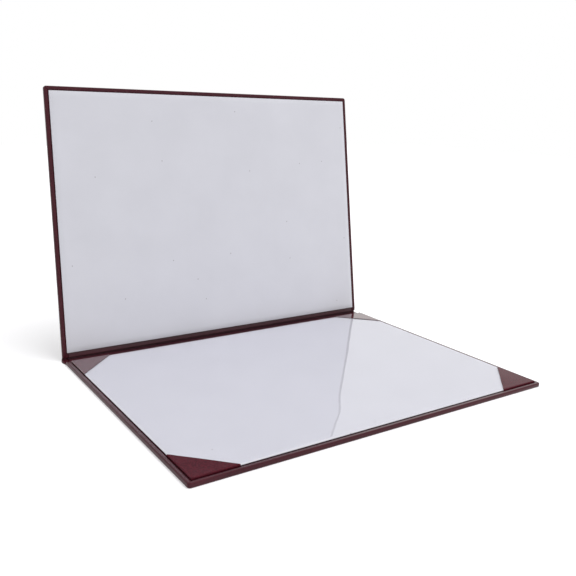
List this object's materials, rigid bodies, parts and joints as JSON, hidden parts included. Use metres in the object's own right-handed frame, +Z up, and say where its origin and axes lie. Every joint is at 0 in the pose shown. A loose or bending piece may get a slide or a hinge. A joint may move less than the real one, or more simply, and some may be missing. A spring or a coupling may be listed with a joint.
{
  "type": "diploma cover",
  "caption": "Landscape diploma cover in burgundy leatherette, open like a tent: white linings, leatherette corner pockets holding a clear sheet, thin padded front.",
  "frame": {"origin": "on the table, under the middle of the open cover's bounding box", "axes": "+X along the hinge, +Y from the lying back cover's free edge towards the standing front cover, +Z up"},
  "size_m": [0.31, 0.2684, 0.2233],
  "materials": {
    "leatherette": "fine-grained, satin sheen",
    "lining": "smooth, matt",
    "greyboard": "plain board",
    "foam": "thin foam",
    "clear_film": "clear and glossy",
    "foil": "pressed foil, muted"
  },
  "bodies": {
    "back_cover": {"back_cover_skin": "leatherette", "back_board": "greyboard", "back_hinge_strip": "leatherette", "back_lining": "lining", "clear_sheet": "clear_film", "corner_pocket_hinge_left": "leatherette", "corner_pocket_hinge_right": "leatherette", "corner_pocket_front_left": "leatherette", "corner_pocket_front_right": "leatherette"},
    "spine": {"spine_skin": "leatherette", "spine_strip": "leatherette"},
    "front_cover": {"front_cover_skin": "leatherette", "front_board": "greyboard", "front_hinge_strip": "leatherette", "front_pad": "foam", "front_lining": "lining", "foil_stamp": "foil"}
  },
  "joints": [
    {"name": "back_joint", "type": "hinge", "parent": "back_cover", "child": "spine", "pos_m": [0, 0.09127, 0.0002], "axis": [1, 0, 0], "range_deg": [0, 90]},
    {"name": "front_joint", "type": "hinge", "parent": "spine", "child": "front_cover", "pos_m": [0, 0.09937, 0.0002], "axis": [1, 0, 0], "range_deg": [-81.2, 8.8]}
  ]
}
